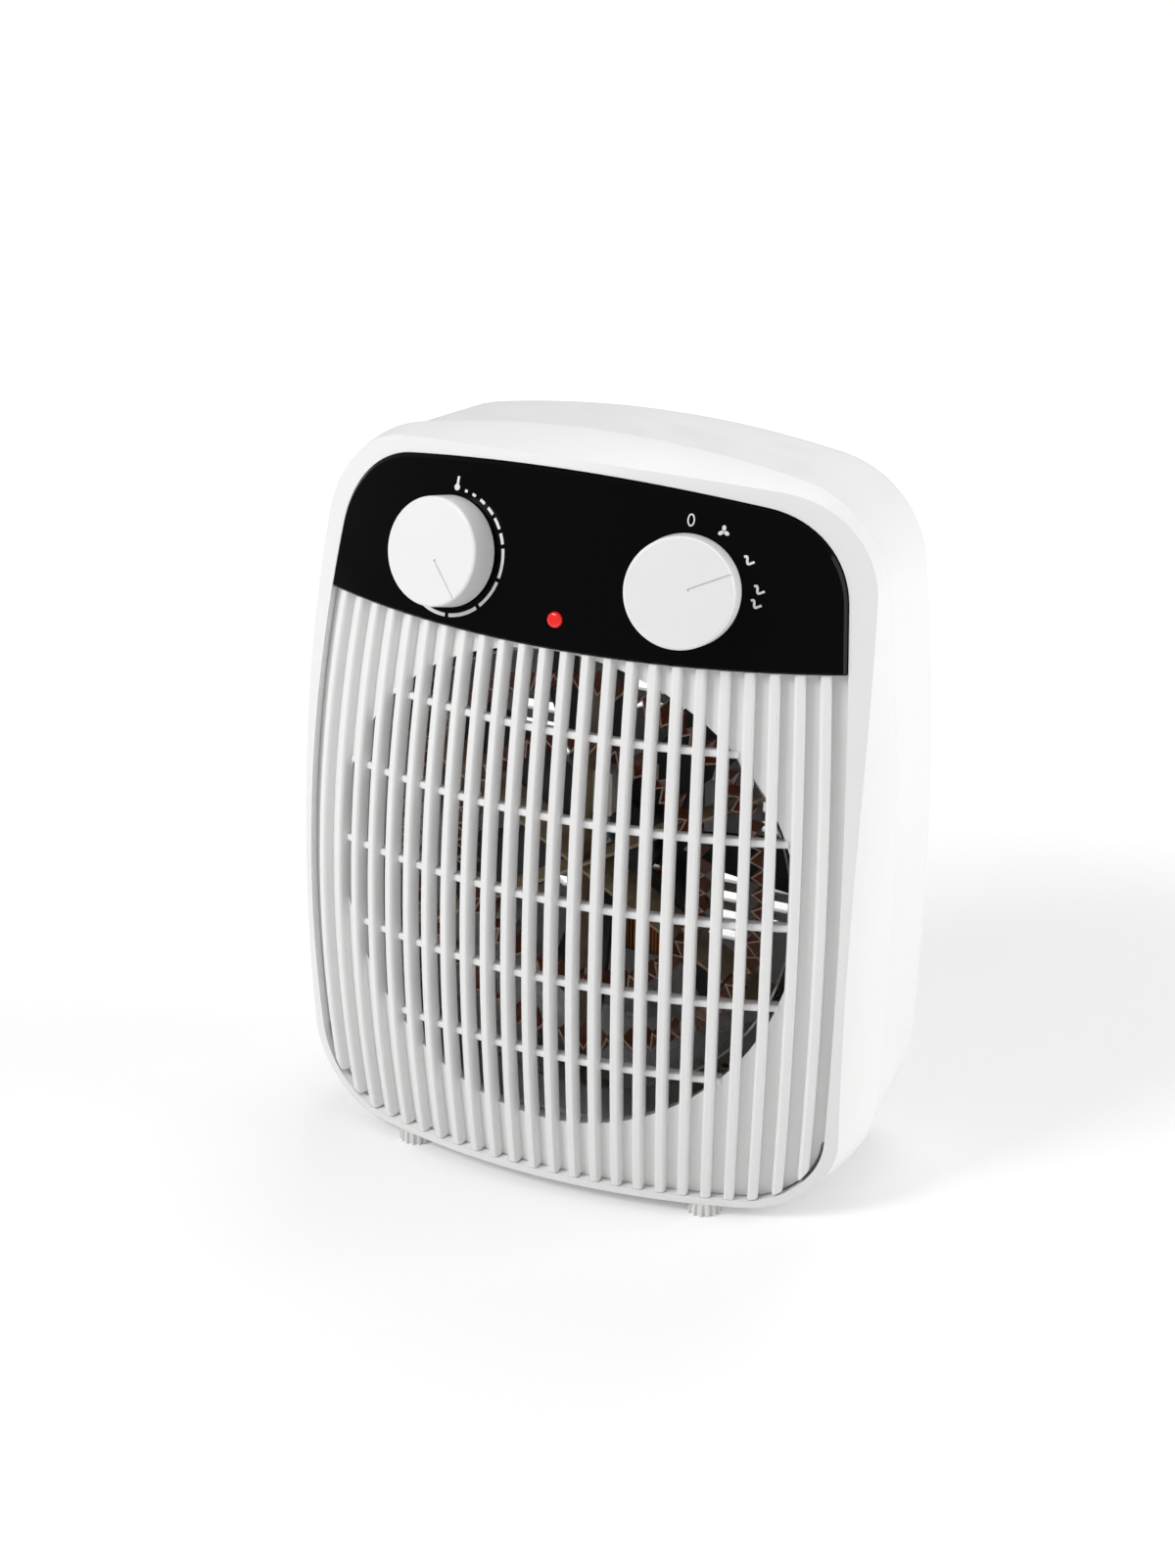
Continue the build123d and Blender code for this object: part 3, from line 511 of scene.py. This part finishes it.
class Dial:
    """A control's seat on the panel, from its joint: marks are laid on the panel round it."""

    def __init__(self, joint):
        self.normal = Vector(joint["axis"]).normalized()
        self.across = Vector((-self.normal.y, self.normal.x, 0)).normalized()
        self.up = self.normal.cross(self.across)
        self.place = Vector(joint["pos_m"])

    def point(self, angle, radius, side=0.0, rise=0.0, proud=0.0):
        """Point on the panel at a clockwise angle and radius in mm, moved by side and rise."""
        turn = math.radians(angle)
        u = (radius * math.sin(turn) + side) * MM
        v = (radius * math.cos(turn) + rise) * MM
        at = self.place + self.across * u + self.up * v
        return Vector((at.x, front_y(at.x, at.z, PANEL_PROUD + proud), at.z))


# The print stands proud of the panel and starts just inside it, in metres.
PRINT_HEIGHT = 0.00005
PRINT_SINK = 0.00002


class Print:
    """Thin raised marks printed on the panel, gathered into one mesh."""

    def __init__(self, dial):
        self.dial = dial
        self.points = []
        self.faces = []

    def ribbon(self, rows, closed=False):
        """Band between pairs of (angle, radius, side, rise) points."""
        first = len(self.points)
        for pair in rows:
            for proud in (-PRINT_SINK, PRINT_HEIGHT):
                for at in pair:
                    self.points.append(self.dial.point(*at, proud=proud))
        count = len(rows)
        for row in range(count if closed else count - 1):
            a = first + 4 * row
            b = first + 4 * ((row + 1) % count)
            for p, q in ((2, 3), (3, 1), (1, 0), (0, 2)):
                self.faces.append((a + p, a + q, b + q, b + p))
        if not closed:
            self.faces.append((first, first + 1, first + 3, first + 2))
            last = first + 4 * (count - 1)
            self.faces.append((last + 2, last + 3, last + 1, last))

    def arc(self, start, end, radius, width):
        """Part of a ring round the dial."""
        steps = max(2, int(abs(end - start) / 3))
        angles = [start + (end - start) * step / steps for step in range(steps + 1)]
        self.ribbon([
            ((a, radius - width / 2, 0, 0), (a, radius + width / 2, 0, 0)) for a in angles
        ])

    def line(self, angle, radius, path, width, closed=False):
        """Line of one width along (side, rise) points about a place on the dial."""
        rows = []
        count = len(path)
        for index, (side, rise) in enumerate(path):
            before = path[(index - 1) % count if closed else max(index - 1, 0)]
            after = path[(index + 1) % count if closed else min(index + 1, count - 1)]
            along = Vector((after[0] - before[0], after[1] - before[1])).normalized()
            out = Vector((-along.y, along.x)) * width / 2
            rows.append((
                (angle, radius, side - out.x, rise - out.y),
                (angle, radius, side + out.x, rise + out.y),
            ))
        self.ribbon(rows, closed)

    def finish(self, name):
        """Makes the mesh and fixes it to the housing."""
        housing_piece(name, self.points, self.faces, print_white)


def oval(half_side, half_rise, steps=16, turned=0.0, middle=(0, 0)):
    """Points round an oval, turned by an angle."""
    points = []
    for step in range(steps):
        turn = 2 * math.pi * step / steps
        side, rise = half_side * math.cos(turn), half_rise * math.sin(turn)
        lean = math.radians(turned)
        points.append((
            middle[0] + side * math.cos(lean) - rise * math.sin(lean),
            middle[1] + side * math.sin(lean) + rise * math.cos(lean),
        ))
    return points


def wave(width, height, lean, middle=(0, 0), steps=14):
    """Points along one flowing wave."""
    points = []
    for step in range(steps + 1):
        share = step / steps
        side = (share - 0.5) * width
        rise = math.sin(share * 2.2 * math.pi + 0.4) * height / 2
        turn = math.radians(lean)
        points.append((
            middle[0] + side * math.cos(turn) - rise * math.sin(turn),
            middle[1] + side * math.sin(turn) + rise * math.cos(turn),
        ))
    return points


print_white = plastic("print_white", (0.8, 0.8, 0.8), 0.5, 800.0, 0.00001)

# Thermostat scale: marks that grow from dots to long arcs, under a thermometer.
SCALE_RADIUS = 20.6
SCALE_MARKS = (
    (5, 8, 0.9), (14, 18, 0.9), (24, 30, 1.0), (35, 43, 1.0), (47, 58, 1.0),
    (62, 72, 1.1), (76, 103, 1.1), (107, 136, 1.1), (140, 172, 1.2), (176, 226, 1.2),
)
# Places on a dial are a clockwise angle and a radius in mm.
THERMOMETER = (-4, 22.0)
STEM_WIDTH = 0.9
BULB_WIDTH = 1.1
thermostat_scale = Print(Dial(joints["thermostat_turn"]))
for start, end, width in SCALE_MARKS:
    thermostat_scale.arc(start, end, SCALE_RADIUS, width)
thermostat_scale.line(*THERMOMETER, [(0, -0.2), (0, 2.6)], STEM_WIDTH)
thermostat_scale.line(*THERMOMETER, oval(0.55, 0.55, middle=(0, -0.9)), BULB_WIDTH, True)
thermostat_scale.finish("thermostat_scale")

# Heat switch scale: off, fan, low and high.
OFF_MARK = (1, 22.5)
FAN_MARK = (29, 22.6)
FAN_BLADES = (90, 210, 330)
BLADE_REACH = 1.05
WAVE_MARKS = ((60, 22.3, 0.0), (86, 23.2, 0.5), (95, 22.6, -0.4))
WAVE_WIDTH = 3.6
WAVE_HEIGHT = 1.7
WAVE_LEAN = -30
switch_scale = Print(Dial(joints["switch_turn"]))
switch_scale.line(*OFF_MARK, oval(1.0, 1.8), 0.45, True)
for turned in FAN_BLADES:
    lean = math.radians(turned)
    middle = (BLADE_REACH * math.cos(lean), BLADE_REACH * math.sin(lean))
    switch_scale.line(*FAN_MARK, oval(0.62, 0.34, 12, turned, middle), 0.6, True)
for angle, radius, rise in WAVE_MARKS:
    outline = wave(WAVE_WIDTH, WAVE_HEIGHT, WAVE_LEAN, (0, rise))
    switch_scale.line(angle, radius, outline, 0.75)
switch_scale.finish("switch_scale")


def direction(yaw, pitch):
    """Unit vector that a camera looks along."""
    a, e = math.radians(yaw), math.radians(pitch)
    return Vector((-math.sin(a) * math.cos(e), math.cos(a) * math.cos(e), math.sin(e)))


# Camera, turned by yaw, pitch and roll.
camera = bpy.data.objects.new("camera", bpy.data.cameras.new("camera"))
bpy.context.scene.collection.objects.link(camera)
forward = direction(CAMERA_YAW, CAMERA_PITCH)
level_right = Vector((math.cos(math.radians(CAMERA_YAW)), math.sin(math.radians(CAMERA_YAW)), 0))
level_up = level_right.cross(forward)
roll = math.radians(CAMERA_ROLL)
right = level_right * math.cos(roll) + level_up * math.sin(roll)
up = level_up * math.cos(roll) - level_right * math.sin(roll)
camera.matrix_world = Matrix.Translation(CAMERA_PLACE) @ Matrix((
    (right.x, up.x, -forward.x, 0),
    (right.y, up.y, -forward.y, 0),
    (right.z, up.z, -forward.z, 0),
    (0, 0, 0, 1),
))
camera.data.sensor_width = SENSOR
camera.data.lens = FOCAL_PIXELS / IMAGE_HEIGHT * SENSOR
camera.data.clip_start = 0.01
bpy.context.scene.camera = camera
bpy.context.scene.view_settings.view_transform = "Standard"

# Floor: pale, with light that only the camera sees and that grows with distance.
REACH = 6.0
FLOOR_GREY = 0.8
NEAR_LIFT = 0.2
FAR_LIFT = 0.85
LIFT_START = 0.3
LIFT_END = 1.6
floor_mesh = bpy.data.meshes.new("floor")
floor_mesh.from_pydata(
    [(-REACH, -REACH, 0), (REACH, -REACH, 0), (REACH, REACH, 0), (-REACH, REACH, 0)],
    [],
    [(0, 1, 2, 3)],
)
floor = bpy.data.objects.new("floor", floor_mesh)
bpy.context.scene.collection.objects.link(floor)
floor_material, tree, shader = node_tree("floor")
shader.inputs["Base Color"].default_value = (FLOOR_GREY, FLOOR_GREY, FLOOR_GREY, 1)
shader.inputs["Roughness"].default_value = 0.7
shader.inputs["Specular IOR Level"].default_value = 0.2
lift = add_node(tree, "ShaderNodeEmission", Color=(1, 1, 1, 1))
seen = tree.nodes.new("ShaderNodeLightPath")
place = tree.nodes.new("ShaderNodeNewGeometry")
away = tree.nodes.new("ShaderNodeVectorMath")
away.operation = "LENGTH"
tree.links.new(place.outputs["Position"], away.inputs[0])
fade = tree.nodes.new("ShaderNodeMapRange")
fade.inputs["From Min"].default_value = LIFT_START
fade.inputs["From Max"].default_value = LIFT_END
fade.inputs["To Min"].default_value = NEAR_LIFT
fade.inputs["To Max"].default_value = FAR_LIFT
tree.links.new(away.outputs["Value"], fade.inputs["Value"])
camera_only = tree.nodes.new("ShaderNodeMath")
camera_only.operation = "MULTIPLY"
tree.links.new(seen.outputs["Is Camera Ray"], camera_only.inputs[0])
tree.links.new(fade.outputs["Result"], camera_only.inputs[1])
tree.links.new(camera_only.outputs[0], lift.inputs["Strength"])
both = tree.nodes.new("ShaderNodeAddShader")
tree.links.new(shader.outputs[0], both.inputs[0])
tree.links.new(lift.outputs[0], both.inputs[1])
tree.links.new(both.outputs[0], tree.nodes["Material Output"].inputs["Surface"])
floor_mesh.materials.append(floor_material)

# World: even studio light that looks white to the camera and through glass.
WORLD_LIGHT = 0.4
WORLD_SEEN = 1.0
world = bpy.data.worlds.new("studio")
bpy.context.scene.world = world
world.use_nodes = True
tree = world.node_tree
background = tree.nodes["Background"]
background.inputs["Color"].default_value = (1, 1, 1, 1)
rays = tree.nodes.new("ShaderNodeLightPath")
seen = tree.nodes.new("ShaderNodeMath")
seen.operation = "MAXIMUM"
tree.links.new(rays.outputs["Is Camera Ray"], seen.inputs[0])
tree.links.new(rays.outputs["Is Transmission Ray"], seen.inputs[1])
level = tree.nodes.new("ShaderNodeMapRange")
level.inputs["To Min"].default_value = WORLD_LIGHT
level.inputs["To Max"].default_value = WORLD_SEEN
tree.links.new(seen.outputs[0], level.inputs["Value"])
tree.links.new(level.outputs["Result"], background.inputs["Strength"])


def softbox(name, place, target, size, power):
    """Square area light that faces a target."""
    data = bpy.data.lights.new(name, "AREA")
    data.size = size
    data.energy = power
    lamp = bpy.data.objects.new(name, data)
    lamp.location = place
    lamp.rotation_mode = "QUATERNION"
    lamp.rotation_quaternion = (Vector(target) - Vector(place)).to_track_quat("-Z", "Y")
    bpy.context.scene.collection.objects.link(lamp)


# Name, place, target, size in metres and power in watts of each lamp.
SOFTBOXES = (
    ("key", (-1.0, -1.5, 1.45), (0, 0, 0.12), 0.9, 30),
    ("top", (-0.1, 0.9, 1.5), (0, 0, 0.1), 1.0, 7),
    ("fill", (1.7, 0.5, 0.6), (0, 0, 0.12), 1.2, 21),
)
for lamp in SOFTBOXES:
    softbox(*lamp)
